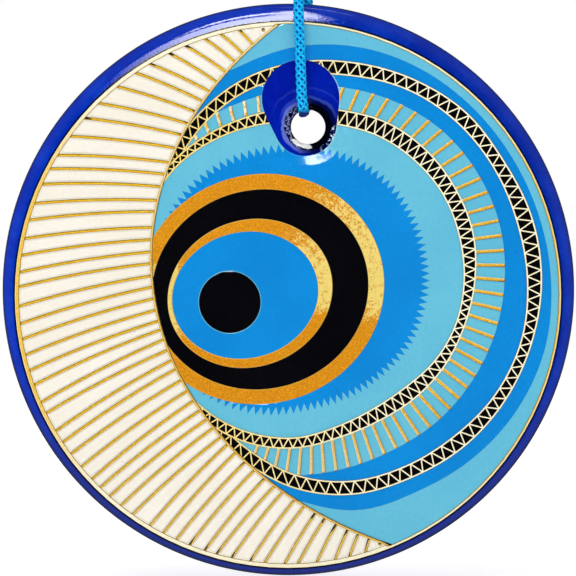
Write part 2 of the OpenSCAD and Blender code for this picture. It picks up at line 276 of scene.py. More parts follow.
def spline(points, step):
    """A smooth line through the points, in steps of about the given length."""
    p = np.array(points, dtype=float)
    p = np.vstack([2 * p[0] - p[1], p, 2 * p[-1] - p[-2]])
    fine = []
    for a, b, c, d in zip(p, p[1:], p[2:], p[3:]):
        for t in np.arange(0, 1, SPLINE_CUT):
            fine.append(
                b + t * (c - a) / 2 + t * t * (2 * a - 5 * b + 4 * c - d) / 2
                + t ** 3 * (3 * b - a - 3 * c + d) / 2
            )
    fine = np.array(fine + [p[-2]])
    along = np.concatenate([[0], np.cumsum(np.linalg.norm(np.diff(fine, axis=0), axis=1))])
    count = max(SPLINE_FEWEST, round(along[-1] / step))
    even = np.linspace(0, along[-1], count + 1)
    return np.stack([np.interp(even, along, fine[:, k]) for k in range(3)], axis=1)


def carried_frames(line, first):
    """Two side vectors along a line, carried from the first one without twist."""
    ahead = unit(np.gradient(line, axis=0))
    side = unit(first - ahead[0] * np.dot(first, ahead[0]))
    sides = []
    for t in ahead:
        side = unit(side - t * np.dot(side, t))
        sides.append(side)
    sides = np.array(sides)
    return sides, np.cross(ahead, sides)


# ---------- cord material ----------

YARNS_PER_STRAND = 11
# Down in the hole little light reaches the yarn, so shade is painted on it below these heights.
DARK_BELOW_Z = -80.1 * MM
LIT_ABOVE_Z = -79.1 * MM


def cord_material():
    """Cyan yarn, with a painted highlight on the crown of each strand, painted shade where it dips
    under, and painted shade down in the hole.
    """
    s = Shader("cord_yarn")
    around = s.times(s.part(s.uv, 1), 2 * math.pi)
    crown = s.ramp(s.math("SINE", around), 0.0, 0.95)
    yarns = s.math("SINE", s.times(around, YARNS_PER_STRAND))
    fuzz = s.noise(2.2, 3)
    shade = s.math("ADD", s.times(yarns, 0.12), s.times(fuzz, 0.9))
    bright = s.mix(s.ramp(shade, 0.2, 0.75), linear(0, 164, 240), linear(16, 222, 255))
    # painted highlight on each strand's crown, painted shade at its sides
    base = s.mix(crown, linear(0, 96, 205), bright)
    # painted shade on the yarn down in the hole
    lit = s.ramp(s.part(s.place, 2), DARK_BELOW_Z, LIT_ABOVE_Z)
    s.set("Base Color", s.mix(lit, linear(4, 44, 130), base))
    s.set("Roughness", 0.5)
    s.set("Specular IOR Level", 0.2)
    s.set("Sheen Weight", 0.03)
    s.set("Sheen Roughness", 0.4)
    s.set("Sheen Tint", (0.5, 0.9, 1.0, 1.0))
    s.set("Normal", s.bump(shade, 0.05 * MM, 0.7))
    return s.material


def core_material():
    """Dark blue threads, seen between the strands."""
    s = Shader("cord_core")
    threads = s.noise(3.0, 3)
    s.set("Base Color", s.mix(s.ramp(threads, 0.3, 0.7), linear(6, 16, 120), linear(10, 34, 160)))
    s.set("Roughness", 0.8)
    s.set("Normal", s.bump(threads, 0.06 * MM, 0.7))
    return s.material


CORD = cord_material()
CORE = core_material()

# ---------- cord ----------

CORD_STEP = 0.17 * MM
FIRST_SIDE = np.array([1.0, 0.15, 0.02])
BRAID_TURN = 6.6 * MM
BRAID_STRANDS = 4
BRAID_R = 0.84 * MM
BRAID_WAVE = 0.13 * MM
# The strands that run down to the right on the front are broader than those that cross them.
BROAD_HALF_W = 0.38 * MM
NARROW_HALF_W = 0.26 * MM
STRAND_HALF_T = 0.3 * MM
SECTION = 10
CORE_R = 0.72 * MM
CORE_SIDES = 12
# The cord is squeezed where it bends over the top of the hole, and lies higher there.
BIGHT_TOP_Z = -78.2 * MM
BIGHT_DEPTH = 1.9 * MM
BIGHT_FLAT = 0.42
BIGHT_LIFT = 1.35 * MM


def tube(line, radius, sides, start):
    """Vertices and faces of a closed tube round a line; start is its first vertex's number."""
    u, v = carried_frames(line, FIRST_SIDE)
    angles = np.arange(sides) * 2 * math.pi / sides
    verts = []
    for p, a, b in zip(line, u, v):
        for q in angles:
            verts.append(p + radius * (a * math.cos(q) + b * math.sin(q)))
    return verts, capped_faces(len(line), sides, start)


def pressed(points, line, across, flat):
    """Points round a line, pressed flat along the direction across and lifted against it."""
    points = np.array(points).reshape(len(line), -1, 3)
    off = np.sum((points - line[:, None]) * across[:, None], axis=2)
    move = off * flat[:, None] + (BIGHT_LIFT * flat)[:, None]
    return list((points - move[:, :, None] * across[:, None]).reshape(-1, 3))


def braid(name, line, flat=None):
    """A round braid of four strands each way round a dark core, along a line. Where flat is above 0
    the cord lies pressed against the glass."""
    step = np.linalg.norm(np.diff(line, axis=0), axis=1)
    along = np.concatenate([[0], np.cumsum(step)])
    u, v = carried_frames(line, FIRST_SIDE)
    flat = np.zeros(len(line)) if flat is None else flat
    verts, faces, uvs, slots = [], [], [], []
    turn = 2 * math.pi * along / BRAID_TURN
    for way, half_w in ((1, NARROW_HALF_W), (-1, BROAD_HALF_W)):
        for k in range(BRAID_STRANDS):
            angle = way * turn + k * 2 * math.pi / BRAID_STRANDS
            radius = BRAID_R + way * BRAID_WAVE * np.cos(BRAID_STRANDS * turn)
            out = u * np.cos(angle)[:, None] + v * np.sin(angle)[:, None]
            middle = line + out * radius[:, None]
            along_strand = unit(np.gradient(middle, axis=0))
            out = unit(out - along_strand * np.sum(out * along_strand, axis=1, keepdims=True))
            across = np.cross(along_strand, out)
            strand = []
            for i in range(len(line)):
                for q in range(SECTION):
                    t = 2 * math.pi * q / SECTION
                    strand.append(
                        middle[i]
                        + across[i] * math.cos(t) * half_w
                        + out[i] * math.sin(t) * STRAND_HALF_T
                    )
                    uvs.append((along[i] / MM, q / SECTION))
            strand_faces = capped_faces(len(line), SECTION, len(verts))
            verts += pressed(strand, line, v, flat)
            faces += strand_faces
            slots += [0] * len(strand_faces)
    core, core_faces = tube(line[::2], CORE_R, CORE_SIDES, len(verts))
    verts += pressed(core, line[::2], v[::2], flat[::2])
    uvs += [(0, 0)] * len(core)
    faces += core_faces
    slots += [1] * len(core_faces)
    return piece(name, verts, faces, [CORD, CORE], uvs=uvs, slots=slots)


# The cord's routes are the CAD's, in millimetres. The two tails start a little deeper in the knot.
FRONT = [
    (-1.4, -0.8, -40), (-1.35, -1.8, -42.2), (-1.2, -4.1, -45.6), (-1.05, -5, -49),
    (-0.9, -5, -56), (-0.65, -5, -63), (-0.4, -5, -70), (-0.15, -5, -76.5),
    (0.1, -4.8, -78.4), (0.3, -4, -79.7), (0.5, -2.4, -80.4), (0.6, 0, -80.6),
]
BACK = [
    (1.4, 0.8, -40), (1.4, 1.6, -42.2), (1.35, 3.6, -45.6), (1.3, 4.55, -49),
    (1.2, 4.55, -56), (1.1, 4.55, -63), (1, 4.55, -70), (0.9, 4.55, -76.5),
    (0.8, 4.4, -78.4), (0.7, 3.7, -79.7), (0.6, 2.2, -80.4), (0.6, 0, -80.6),
]
LOOP = [
    (-1.4, 0, -32), (-2, 0, -28.5), (-3.6, 0, -23), (-5.2, 0, -17), (-6, 0, -11), (-5.4, 0, -5.5),
    (-3.4, 0, -0.9), (0, 0, 1.25),
    (3.4, 0, -0.9), (5.4, 0, -5.5), (6, 0, -11), (5.2, 0, -17), (3.6, 0, -23), (2, 0, -28.5),
    (1.4, 0, -32),
]
LEFT_TAIL = [(-2.2, 0.3, -36.2), (-3, 0.6, -36.6), (-5, 0.8, -37.6), (-6.6, 0.9, -39.8), (-7.2, 1, -43)]
RIGHT_TAIL = [(2.2, -0.3, -36.1), (3, -0.6, -36.4), (5.2, -0.8, -37.2), (6.8, -1, -39), (7.8, -1.2, -42)]
# The strands and the loop go on a little way inside the knot, and a short length fills it.
INSIDE_FRONT = [(-1, -0.4, -38.1)]
INSIDE_BACK = [(1, 0.4, -38.1)]
INSIDE_LOOP_LEFT = [(-0.9, 0, -33.9)]
INSIDE_LOOP_RIGHT = [(0.9, 0, -33.9)]
KNOT_FILLING = [(-0.6, 0, -39.4), (0.5, 0.3, -36), (-0.4, 0, -32.6)]

# The wraps of the knot, in millimetres and radians.
WRAP_TURNS = 2.2
WRAP_POINTS = 260
WRAP_LOW_Z = -38.72
WRAP_HIGH_Z = -33.28
WRAP_START = 2.6
WRAP_RX = 2.75
WRAP_RY = 2.6
WRAP_SWAY = 0.25
TUCK_OVER = 1.4
TUCKED_WIDTH = 0.3
TUCK_RISE = 1.2


def metres(points):
    return np.array(points, dtype=float) * MM


def knot_wraps():
    """The wraps' route, in millimetres. Its ends tuck in under the turns next to them."""
    turns = np.linspace(0, WRAP_TURNS * 2 * math.pi, WRAP_POINTS)
    height = np.linspace(WRAP_LOW_Z, WRAP_HIGH_Z, WRAP_POINTS)
    to_end = np.minimum(turns, turns[-1] - turns)
    wide = TUCKED_WIDTH + (1 - TUCKED_WIDTH) * smooth(to_end / TUCK_OVER)
    inwards = np.sign(turns[-1] / 2 - turns) * (1 - wide) * TUCK_RISE
    return np.stack(
        [
            WRAP_RX * wide * np.cos(turns + WRAP_START),
            WRAP_RY * wide * np.sin(turns + WRAP_START),
            height + WRAP_SWAY * np.cos(turns) + inwards,
        ],
        axis=1,
    )


hanging_line = spline(metres(FRONT + BACK[-2::-1]), CORD_STEP)
loop_line = spline(metres(LOOP), CORD_STEP)


def make_cords():
    hanging_whole = spline(metres(INSIDE_FRONT + FRONT + BACK[-2::-1] + INSIDE_BACK), CORD_STEP)
    loop_whole = spline(metres(INSIDE_LOOP_LEFT + LOOP + INSIDE_LOOP_RIGHT), CORD_STEP)
    in_bight = smooth((BIGHT_TOP_Z - hanging_whole[:, 2]) / BIGHT_DEPTH)
    hanging = braid("hanging_cord", hanging_whole, BIGHT_FLAT * in_bight)
    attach(hanging, "cord")
    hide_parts("cord_front_strand", "cord_back_strand")
    loop = braid("loop_cord", loop_whole)
    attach(loop, "loop")
    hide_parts("hanging_loop")
    knot = braid("knot_wraps", spline(knot_wraps() * MM, CORD_STEP))
    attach(knot, "cord")
    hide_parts("cord_knot")
    inner = braid("knot_inside", spline(metres(KNOT_FILLING), CORD_STEP))
    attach(inner, "cord")
    for name, route in (("left_tail", LEFT_TAIL), ("right_tail", RIGHT_TAIL)):
        tail = braid(name, spline(metres(route), CORD_STEP))
        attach(tail, "cord")
        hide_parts("cord_tails")


make_cords()

# ---------- enamel ----------

# The bare glass round the hole is a keyhole of two circles.
KEYHOLE_TOP = DISC_AT + Vector((2.8, 0, 43.3)) * MM
KEYHOLE_TOP_R = 8.8 * MM
KEYHOLE_LOW = DISC_AT + Vector((3.8, 0, 37.4)) * MM
KEYHOLE_LOW_R = 7.1 * MM


def crater(s):
    """Bump of the shallow dip that the drawn hole left in the glass and its enamel."""
    away = s.from_axis(HOLE_AT)[0]
    return s.bump(s.ramp(away, 5.3 * MM, 9.6 * MM), 0.5 * MM, 1.0)


def edge_highlight_painted(s):
    """Strength of a painted highlight: a thin pale line along the edge of the bare glass, which is
    clearer on its right.
    """
    top = s.math("SUBTRACT", s.from_axis(KEYHOLE_TOP)[0], KEYHOLE_TOP_R)
    low = s.math("SUBTRACT", s.from_axis(KEYHOLE_LOW)[0], KEYHOLE_LOW_R)
    gap = s.math("MINIMUM", top, low)
    right = s.ramp(s.offset(0, HOLE_AT), 1.0 * MM, 6.0 * MM)
    strength = s.math("ADD", s.times(right, 0.4), 0.05)
    return s.times(s.ramp(gap, 0.35 * MM, 0.15 * MM), strength)


def enamel(name, colour, other, rough=0.16, edge=None):
    """Glossy enamel with fine mottling and a few dark specks; edge is the colour of a line of painted
    shade along its edges.
    """
    s = Shader(name)
    fine = s.noise(1.3, 3)
    mottle = s.math("ADD", s.times(s.noise(0.06, 2), 0.55), s.times(fine, 0.45))
    base = s.mix(s.ramp(mottle, 0.35, 0.68), linear(*colour), linear(*other))
    # a few dark specks
    speck = s.math("LESS_THAN", s.cells(0.16), 0.022)
    dark = linear(*[c * 0.45 for c in colour])
    base = s.mix(s.times(speck, 0.7), base, dark)
    top = 1.0
    if edge:
        # painted shade: a darker line where the edges round over
        top = s.ramp(s.dot(s.rounded(0.1 * MM), FORWARD), 0.84, 0.97)
        base = s.mix(top, linear(*edge), base)
    # painted highlight along the edge of the bare glass
    s.set("Base Color", s.mix(edge_highlight_painted(s), base, linear(196, 228, 242)))
    s.set("Roughness", s.math("ADD", s.times(fine, 0.08), rough - 0.04))
    s.set("Specular IOR Level", 0.35)
    # The enamel's gloss is brushed in the dip round the hole, and its edges are dull.
    dip = s.ramp(s.from_axis(HOLE_AT)[0], 10.5 * MM, 9.5 * MM)
    brushed = s.ramp(s.noise(0.7, 4, 0.7), 0.36, 0.5)
    gloss = s.math("SUBTRACT", 1.0, s.times(dip, s.math("SUBTRACT", 1.0, brushed)))
    s.set("Coat Weight", s.times(gloss, top))
    s.set("Coat IOR", 1.75)
    s.set("Coat Roughness", 0.05)
    s.set("Normal", s.bump(s.noise(0.8, 2), 0.02 * MM, 0.35, crater(s)))
    s.set("Coat Normal", s.bump(s.noise(1.4, 2), 0.02 * MM, 0.5, crater(s)))
    return s.material


SKY = enamel("enamel_sky", (98, 190, 220), (107, 197, 224))
AZURE = enamel("enamel_azure", (0, 134, 215), (0, 143, 225))
BLACK = enamel("enamel_black", (2, 2, 7), (5, 5, 10), rough=0.12)
CREAM = enamel("enamel_cream", (248, 241, 226), (254, 248, 236), rough=0.2, edge=(186, 166, 104))
OFF_WHITE = enamel("enamel_off_white", (254, 251, 234), (255, 253, 241), rough=0.2)


# ---------- gold ----------

EYE_AT = Vector((-11.5, 0, -122.4)) * MM


def out_of_middle(s):
    """The direction from the decoration's middle to the place, 1 long at the decoration's edge."""
    out = s.add("ShaderNodeVectorMath", operation="SUBTRACT")
    out.inputs[0].default_value = DECOR_AT
    s.link(s.place, out.inputs[1])
    scaled = s.add("ShaderNodeVectorMath", operation="SCALE")
    s.link(out.outputs[0], scaled.inputs[0])
    scaled.inputs["Scale"].default_value = 1 / DECOR_R
    return scaled.outputs[0]


def gold(name, low, high, pale, glow, away, towards, direction, metal, line=0.22 * MM, dark=None):
    """Grainy gold foil. glow gives how pale it is at a place, a painted highlight. away and towards are
    the colours of the edges that face away from and towards a direction, which can also be "middle",
    painted shade and highlight by which way they lean. line is how broad they look, and dark is how far
    the edge towards it must lean to show in full."""
    s = Shader(name)
    grain = s.noise(2.4, 4, 0.65)
    tone = s.math("ADD", s.times(grain, 0.75), s.times(s.cells(3.2), 0.35))
    base = s.mix(s.ramp(tone, 0.3, 0.75), linear(*low), linear(*high))
    # painted highlight where the foil shows pale
    base = s.mix(glow(s, tone), base, linear(*pale))
    rounded = s.rounded(line)
    lean = s.dot(rounded, out_of_middle(s) if direction == "middle" else direction)
    top = s.ramp(s.dot(rounded, FORWARD), 0.9, 0.995)
    if dark:
        turned = s.ramp(lean, 0.0, dark / 3)
        top = s.times(top, s.ramp(lean, dark, dark / 3))
    else:
        turned = s.ramp(lean, -0.15, 0.25)
    # painted shade and highlight on the edges, by which way they lean
    side = s.mix(turned, linear(*away), linear(*towards))
    s.set("Base Color", s.mix(top, side, base))
    s.set("Metallic", s.times(top, metal))
    s.set("Specular IOR Level", s.times(top, 0.25))
    s.set("Roughness", s.math("ADD", s.times(grain, 0.3), 0.25))
    s.set("Normal", s.bump(tone, 0.05 * MM, 0.5, crater(s)))
    return s.material


def between(axis, none_at, most_at, most):
    """Painted highlight that grows along an axis, given in metres."""
    return lambda s, tone: s.times(s.ramp(s.part(s.place, axis), none_at, most_at), most)


def border_glow(s, tone):
    """Painted highlight: pale at the top and bottom of the border, full gold at its left and right."""
    x = s.part(s.place, 0)
    return s.times(s.ramp(x, -62 * MM, -45 * MM), 0.9, s.ramp(x, 60 * MM, 28 * MM))


def bar_glow(s, tone):
    """Painted highlight: pale at the lowest bars, and pale painted glints on the bars at the upper left.
    """
    x, z = s.part(s.place, 0), s.part(s.place, 2)
    low = s.times(s.ramp(z, -145 * MM, -170 * MM), 0.5)
    glints = s.ramp(s.noise(0.9, 3, 0.7), 0.44, 0.58)
    corner = s.times(s.ramp(x, -6 * MM, -11 * MM), s.ramp(z, -104 * MM, -96 * MM))
    return s.math("MAXIMUM", low, s.times(corner, glints))


def sparkle(s, tone):
    """Painted glints that gather on the right of the eye's rings, and at the inner ring's left end."""
    x, z = s.part(s.place, 0), s.part(s.place, 2)
    turn = s.math("ARCTAN2", s.offset(2, EYE_AT), s.offset(0, EYE_AT))
    right = s.times(
        s.ramp(turn, math.radians(74), math.radians(16)),
        s.ramp(turn, math.radians(-15), math.radians(2)),
    )
    left = s.times(
        s.ramp(x, -26 * MM, -28.5 * MM),
        s.ramp(z, -113 * MM, -117 * MM),
        s.ramp(z, -132 * MM, -127 * MM),
    )
    inside = s.math("MAXIMUM", right, left)
    patches = s.math("ADD", s.noise(0.6, 4, 0.75), s.times(tone, 0.4))
    glints = s.ramp(s.math("ADD", patches, s.times(inside, 0.22)), 0.74, 0.92)
    return s.times(s.ramp(inside, 0.0, 0.25), s.times(glints, 0.95))


FIN_GOLD = gold(
    "gold_fins", (250, 178, 10), (255, 214, 50), (255, 232, 150), between(2, -0.15, -0.18, 0.35),
    (150, 100, 18), (36, 26, 6), (-0.6, 0, 0.8), metal=0.3, line=0.36 * MM, dark=0.07,
)
BORDER_GOLD = gold(
    "gold_border", (236, 178, 52), (252, 208, 90), (255, 252, 226), border_glow,
    (252, 236, 180), (168, 138, 44), "middle", metal=0.15,
)
RAIL_GOLD = gold(
    "gold_rail", (232, 178, 66), (252, 214, 116), (255, 240, 184), between(2, -0.12, -0.09, 0.5),
    (206, 152, 40), (10, 8, 6), (1.0, 0, 0.2), metal=0.2, line=0.36 * MM, dark=0.05,
)
RING_GOLD = gold(
    "gold_ring", (208, 122, 2), (248, 170, 20), (255, 230, 128), sparkle,
    (255, 222, 120), (236, 178, 70), (0.6, 0, -0.8), metal=0.3, line=0.14 * MM,
)
LACE_GOLD = gold(
    "gold_lace", (232, 186, 70), (255, 240, 160), (255, 254, 226), between(0, -0.03, 0.03, 0.85),
    (206, 158, 50), (196, 146, 40), (0, 0, -1.0), metal=0.1, line=0.1 * MM,
)
BAR_GOLD = gold(
    "gold_bars", (222, 150, 18), (255, 204, 60), (255, 248, 206), bar_glow,
    (255, 240, 190), (112, 76, 16), (0.7, 0, -0.7), metal=0.25, line=0.3 * MM, dark=0.12,
)


# ---------- glass ----------


def glass_colour(s, front):
    """Deep cobalt, with painted shade that makes it nearly black where it turns away, a paler blue
    painted outside the decoration for light gathered in the rim, brighter at the left, a painted shadow
    line just outside the border, and greyer towards the bottom."""
    streaks, fine = s.noise(0.09, 3, 0.6), s.noise(0.9, 2)
    tone = s.ramp(s.math("ADD", s.times(streaks, 0.7), s.times(fine, 0.3)), 0.32, 0.7)
    inner = s.mix(tone, linear(0, 22, 156), linear(2, 34, 172))
    # painted light: the rim outside the decoration shows a paler blue, brighter at the left
    outer_left = s.mix(tone, linear(0, 40, 172), linear(6, 60, 196))
    outer_right = s.mix(tone, linear(2, 36, 152), linear(10, 54, 180))
    outer = s.mix(s.ramp(s.part(s.place, 0), -60 * MM, 55 * MM), outer_left, outer_right)
    outer = s.mix(s.ramp(s.part(s.place, 2), -130 * MM, -170 * MM), outer, linear(27, 44, 134))
    spread = s.from_axis(DECOR_AT)[0]
    base = s.mix(s.times(s.ramp(spread, 60 * MM, 61.5 * MM), front), inner, outer)
    # painted shadow line just outside the border
    line_starts = s.ramp(spread, 61.7 * MM, 61.9 * MM)
    line_ends = s.ramp(spread, 62.25 * MM, 62.55 * MM)
    line = s.math("SUBTRACT", line_starts, line_ends)
    base = s.mix(s.times(line, front, 0.92), base, linear(2, 4, 30))
    # painted shade: nearly black where the glass turns away
    facing = s.math("ABSOLUTE", s.part(s.normal(), 1))
    return s.mix(s.ramp(facing, 0.42, 0.84), linear(5, 11, 52), base)


def cobalt_glass():
    """Cobalt glass, with light and shade painted round the hole: paler on the hole's left and black on
    its right."""
    s = Shader("glass_cobalt")
    front = s.ramp(s.part(s.place, 1), 0.5 * MM, -0.5 * MM)
    base = glass_colour(s, front)

    away, x, z = s.from_axis(HOLE_AT)
    wavy = s.math("ADD", away, s.times(s.noise(0.5, 2), 1.1 * MM))
    left = s.ramp(s.math("DIVIDE", x, away), 0.35, -0.75)
    above = s.ramp(s.math("DIVIDE", z, away), -0.2, 0.9)
    # painted light on the hole's left
    pale = s.times(s.ramp(wavy, 6.9 * MM, 6.5 * MM), left)
    base = s.mix(s.times(pale, 0.75), base, linear(110, 124, 208))
    # painted shade on the hole's right
    painted_dark_side = s.times(s.ramp(wavy, 8.2 * MM, 6.6 * MM), s.math("SUBTRACT", 1.0, left))
    base = s.mix(s.times(painted_dark_side, 0.85), base, linear(2, 3, 22))
    # painted arcs of light above the hole
    painted_light_arcs = s.times(s.math("SINE", s.times(wavy, 2 * math.pi / (2.2 * MM))), above)
    painted_light_arcs = s.times(painted_light_arcs, s.ramp(wavy, 10.5 * MM, 8.0 * MM))
    base = s.mix(s.times(s.ramp(painted_light_arcs, 0.1, 0.9), 0.5), base, linear(60, 84, 196))

    # Painted reflections break the wall of the hole into dark and pale shards.
    painted_wall_reflections = s.math("ADD", away, s.times(s.cells(0.9, "SMOOTH_F1"), 0.6 * MM))
    wall = s.ramp(painted_wall_reflections, 5.9 * MM, 5.5 * MM)
    glint = s.ramp(s.noise(1.1, 3, 0.8), 0.52, 0.58)
    base = s.mix(wall, base, s.mix(s.times(glint, left), linear(3, 4, 16), linear(140, 150, 214)))

    # A painted patch of white light, as if it came through the glass, at the lower left of the hole.
    wander = s.times(s.math("SUBTRACT", s.noise(0.9, 2), 0.5), 2.4 * MM)
    pane_x = s.math("ADD", x, wander)
    pane_z = s.math("SUBTRACT", z, wander)
    painted_light_patch = s.times(s.ramp(pane_z, -2.9 * MM, -3.1 * MM), s.ramp(wavy, 5.6 * MM, 5.4 * MM))
    across = s.times(s.ramp(pane_x, -4.4 * MM, -4.0 * MM), s.ramp(pane_x, 0.8 * MM, 0.3 * MM))
    base = s.mix(s.times(painted_light_patch, across, front), base, linear(255, 255, 255))

    # Short painted white glints stand at its lower right, where the glass meets the enamel.
    painted_glint_dash = s.times(s.ramp(s.noise(1.5, 2), 0.52, 0.57), s.ramp(away, 5.2 * MM, 5.7 * MM))
    painted_glint_dash = s.times(painted_glint_dash, s.ramp(away, 9.0 * MM, 8.0 * MM), front)
    low_right = s.times(s.ramp(x, 2.6 * MM, 3.4 * MM), s.ramp(z, 0.4 * MM, -0.6 * MM))
    base = s.mix(s.times(painted_glint_dash, low_right), base, linear(200, 230, 244))

    s.set("Base Color", base)
    s.set("Roughness", 0.04)
    s.set("IOR", 1.5)
    polish = s.ramp(away, 6.7 * MM, 7.4 * MM)
    s.set("Specular IOR Level", s.times(polish, 0.5))
    s.set("Coat Weight", s.times(polish, 0.8))
    s.set("Coat Roughness", 0.015)
    s.set("Coat IOR", 1.55)
    ripple = s.bump(s.noise(0.1, 2), 0.1 * MM, 0.35, crater(s))
    speckle = s.bump(s.noise(2.2, 2), 0.012 * MM, 0.9, ripple)
    s.set("Normal", s.bump(s.times(wall, s.noise(0.8, 2)), 1.0 * MM, 0.8, speckle))
    s.set("Coat Normal", speckle)
    return s.material


GLASS = cobalt_glass()
GLASS_SIDES = 360
WALL_RINGS = 5
MOUTH_RINGS = 10
RIM_RINGS = 18
BACK_RINGS = 12
# The rim leaves the flat face with a slight crease, and is upright from this far in front of its middle.
RIM_CREASE = math.radians(13)
RIM_UPRIGHT = 0.9 * MM
BACK_ROUND_R = 1.9 * MM
# Where the rings of the flat faces lie, as shares of the way across.
FRONT_SHARES = (0, 0.01, 0.02, 0.035, 0.05, 0.08, 0.12, 0.18, 0.27, 0.4, 0.6, 0.8, 0.95, 1)
BACK_SHARES = (0.02, 0.06, 0.12, 0.2, 0.3, 0.4, 0.5, 0.6, 0.7, 0.8, 0.88, 0.94, 1)


def circle_ring(middle, radius, y):
    angles = np.arange(GLASS_SIDES) * 2 * math.pi / GLASS_SIDES
    x = middle[0] + radius * np.cos(angles)
    z = middle[2] + radius * np.sin(angles)
    return np.stack([x, np.full(GLASS_SIDES, y), z], axis=1)


def glass_rings():
    """The glass's rings: from the middle of the hole's wall over the front, the rim and the back to
    the wall again."""
    rings = []
    for k in range(WALL_RINGS):
        rings.append(circle_ring(HOLE_AT, HOLE_R, (MOUTH_R - HALF_T) * k / WALL_RINGS))
    for k in range(MOUTH_RINGS):
        a = math.pi / 2 * k / MOUTH_RINGS
        radius = HOLE_R + MOUTH_R * (1 - math.cos(a))
        rings.append(circle_ring(HOLE_AT, radius, MOUTH_R - HALF_T - MOUTH_R * math.sin(a)))

    mouth = circle_ring(HOLE_AT, HOLE_R + MOUTH_R, -HALF_T)
    border = circle_ring(DECOR_AT, DECOR_R, -HALF_T)
    for t in FRONT_SHARES:
        rings.append(mouth + t * (border - mouth))

    middle = circle_ring(DISC_AT, DISC_R, 0)
    for k in range(1, RIM_RINGS + 1):
        a = RIM_CREASE + (math.pi / 2 - RIM_CREASE) * k / RIM_RINGS
        out = (math.sin(a) - math.sin(RIM_CREASE)) / (1 - math.sin(RIM_CREASE))
        sunk = (math.cos(RIM_CREASE) - math.cos(a)) / math.cos(RIM_CREASE)
        ring = border + (middle - border) * out
        ring[:, 1] = -HALF_T + (HALF_T - RIM_UPRIGHT) * sunk
        rings.append(ring)
    rings.append(middle)
    for k in range(BACK_RINGS + 1):
        a = math.pi / 2 * k / BACK_RINGS
        radius = DISC_R - BACK_ROUND_R * (1 - math.cos(a))
        rings.append(circle_ring(DISC_AT, radius, HALF_T - BACK_ROUND_R * (1 - math.sin(a))))

    back_edge = rings[-1]
    back_mouth = circle_ring(HOLE_AT, HOLE_R + MOUTH_R, HALF_T)
    for t in BACK_SHARES:
        rings.append(back_edge + t * (back_mouth - back_edge))
    for k in range(1, MOUTH_RINGS + 1):
        a = math.pi / 2 * k / MOUTH_RINGS
        radius = HOLE_R + MOUTH_R * (1 - math.sin(a))
        rings.append(circle_ring(HOLE_AT, radius, HALF_T - MOUTH_R * (1 - math.cos(a))))
    for k in range(1, WALL_RINGS):
        rings.append(circle_ring(HOLE_AT, HOLE_R, (HALF_T - MOUTH_R) * (1 - k / WALL_RINGS)))
    return rings


def make_glass():
    """The disc: a flat decorated face, a rounded rim, a flat back and a hole with rounded mouths."""
    rings = glass_rings()
    faces = ring_faces(len(rings), GLASS_SIDES, closed=True)
    glass = piece("glass_body", np.vstack(rings), faces, [GLASS])
    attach(glass, "ornament")
    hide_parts("glass_disc")


make_glass()


# ---------- decoration ----------

WELD_WITHIN = 0.002 * MM
BEVEL_FROM = math.radians(50)


def dress(name, material, bevel=0.0):
    """Gives a CAD node its material and softens its edges."""
    node = nodes[name]
    node.data.materials.clear()
    node.data.materials.append(material)
    if bevel:
        weld = node.modifiers.new("weld", "WELD")
        weld.merge_threshold = WELD_WITHIN
        soften = node.modifiers.new("soften", "BEVEL")
        soften.width = bevel
        soften.segments = 2
        soften.limit_method = "ANGLE"
        soften.angle_limit = BEVEL_FROM
        soften.use_clamp_overlap = True
        level = node.modifiers.new("level", "WEIGHTED_NORMAL")
        level.weight = 100
        level.mode = "FACE_AREA"


dress("crescent_ground", OFF_WHITE)
dress("cream_cells", CREAM, 0.09 * MM)
dress("crescent_fins", FIN_GOLD, 0.17 * MM)
dress("crescent_rail", RAIL_GOLD, 0.17 * MM)
dress("gold_border", BORDER_GOLD, 0.17 * MM)
dress("gold_brick_bars", BAR_GOLD, 0.15 * MM)
for node_name in ("gold_outer_lace", "gold_inner_lace"):
    dress(node_name, LACE_GOLD, 0.06 * MM)
for node_name in ("gold_outer_ring", "gold_inner_ring"):
    dress(node_name, RING_GOLD, 0.1 * MM)
for node_name in ("sky_outer_band", "sky_brick_band", "sky_wide_band", "pupil_hairline"):
    dress(node_name, SKY, 0.04 * MM)
for node_name in ("azure_outer_band", "azure_middle_band", "azure_sawtooth_field", "azure_iris"):
    dress(node_name, AZURE, 0.04 * MM)
for node_name in ("black_outer_lace", "black_inner_lace", "black_ring", "black_pupil"):
    dress(node_name, BLACK, 0.04 * MM)


# ---------- floor, world and lights ----------

FLOOR_HALF = 3.0
FLOOR_Z = -0.1865
WORLD_DIFFUSE = 0.6
WORLD_GLOSSY = 0.12
# Reflections of the world are darkest within the flag's inner angle round -Y.
FLAG_GLOSSY = 0.012
FLAG_INNER = math.radians(20)
FLAG_OUTER = math.radians(48)
LIGHT_DISTANCE = 1.0
REFLECTOR_DISTANCE = 3.0


def make_floor():
    s = Shader("pale_floor")
    dust = s.noise(0.02, 2)
    s.set("Base Color", s.mix(dust, (0.93, 0.93, 0.93, 1), (0.96, 0.96, 0.96, 1)))
    s.set("Roughness", 0.7)
    s.set("Specular IOR Level", 0.1)
    s.set("Emission Color", (1.0, 1.0, 1.0, 1.0))
    s.set("Emission Strength", 0.52)
    corners = ((-1, -1), (1, -1), (1, 1), (-1, 1))
    verts = [(x * FLOOR_HALF, y * FLOOR_HALF, FLOOR_Z) for x, y in corners]
    floor = piece("floor", verts, [(0, 1, 2, 3)], [s.material], shaded_smooth=False)
    # A pale floor would wash out the blacks and the rim's deep blue.
    floor.visible_glossy = False


